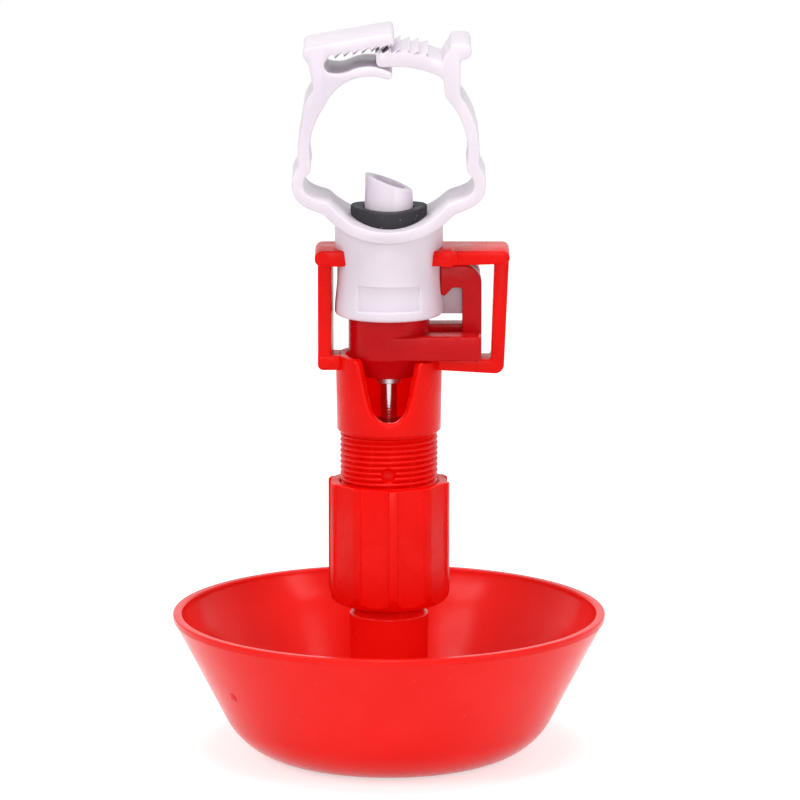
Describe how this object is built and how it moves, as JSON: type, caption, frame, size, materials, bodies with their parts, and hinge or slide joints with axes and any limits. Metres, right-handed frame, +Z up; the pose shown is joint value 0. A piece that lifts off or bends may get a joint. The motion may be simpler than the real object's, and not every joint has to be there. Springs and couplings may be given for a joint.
{
  "type": "hanging poultry drinker",
  "caption": "Hanging poultry drinker: a ratchet ring closes on a water pipe and feeds a pin valve, with a red bowl held below it by a ribbed nut on a threaded hanger.",
  "frame": {"origin": "middle of the bowl's flat underside, on the axis of the bowl, the thread and the socket", "axes": "+Z up along that axis, +Y from front to back along the water pipe, +X to the side of the valve's locking arm"},
  "size_m": [0.072, 0.072, 0.1224],
  "materials": {
    "red_plastic": "moulded, soft gloss",
    "dark_red_plastic": "moulded, soft gloss",
    "white_plastic": "moulded, satin",
    "black_rubber": "moulded rubber, matte",
    "steel": "turned stainless steel"
  },
  "bodies": {
    "valve_and_hanger": {"saddle_clamp": "white_plastic", "pipe_gasket": "black_rubber", "valve_body": "dark_red_plastic", "body_seal": "black_rubber", "seat_bush": "steel", "hanger": "red_plastic"},
    "valve_pin": {"valve_pin": "steel"},
    "trigger": {"trigger_pin": "steel"},
    "spring": {"level_spring": "steel"},
    "nut": {"adjusting_nut": "red_plastic"},
    "washer": {"spring_washer": "white_plastic"},
    "bowl": {"bowl": "red_plastic", "column_cap": "red_plastic"}
  },
  "joints": [
    {"name": "pin_lift", "type": "slide", "parent": "valve_and_hanger", "child": "valve_pin", "axis": [0, 0, 1], "range_m": [0, 0.0012]},
    {"name": "pin_tilt", "type": "hinge", "parent": "valve_pin", "child": "trigger", "pos_m": [0, 0, 0.06757], "axis": [0, 1, 0], "range_deg": [-3.2, 3.2]},
    {"name": "nut_travel", "type": "slide", "parent": "valve_and_hanger", "child": "spring", "axis": [0, 0, 1], "range_m": [-0.00465, 0.00279]},
    {"name": "nut_turn", "type": "hinge", "parent": "spring", "child": "nut", "pos_m": [0, 0, 0.035], "axis": [0, 0, 1], "range_deg": [-1800, 1080]},
    {"name": "bowl_sink", "type": "slide", "parent": "spring", "child": "washer", "axis": [0, 0, 1], "range_m": [-0.0025, 0], "stiffness_N_per_m": 250, "springref_m": 0.002, "deforming": ["level_spring"]},
    {"name": "bowl_turn", "type": "hinge", "parent": "washer", "child": "bowl", "pos_m": [0, 0, 0.01], "axis": [0, 0, 1], "continuous": true}
  ],
  "couplings": [
    {"joint": "nut_turn", "follows": "nut_travel", "rad_per_m": 6756.1}
  ]
}
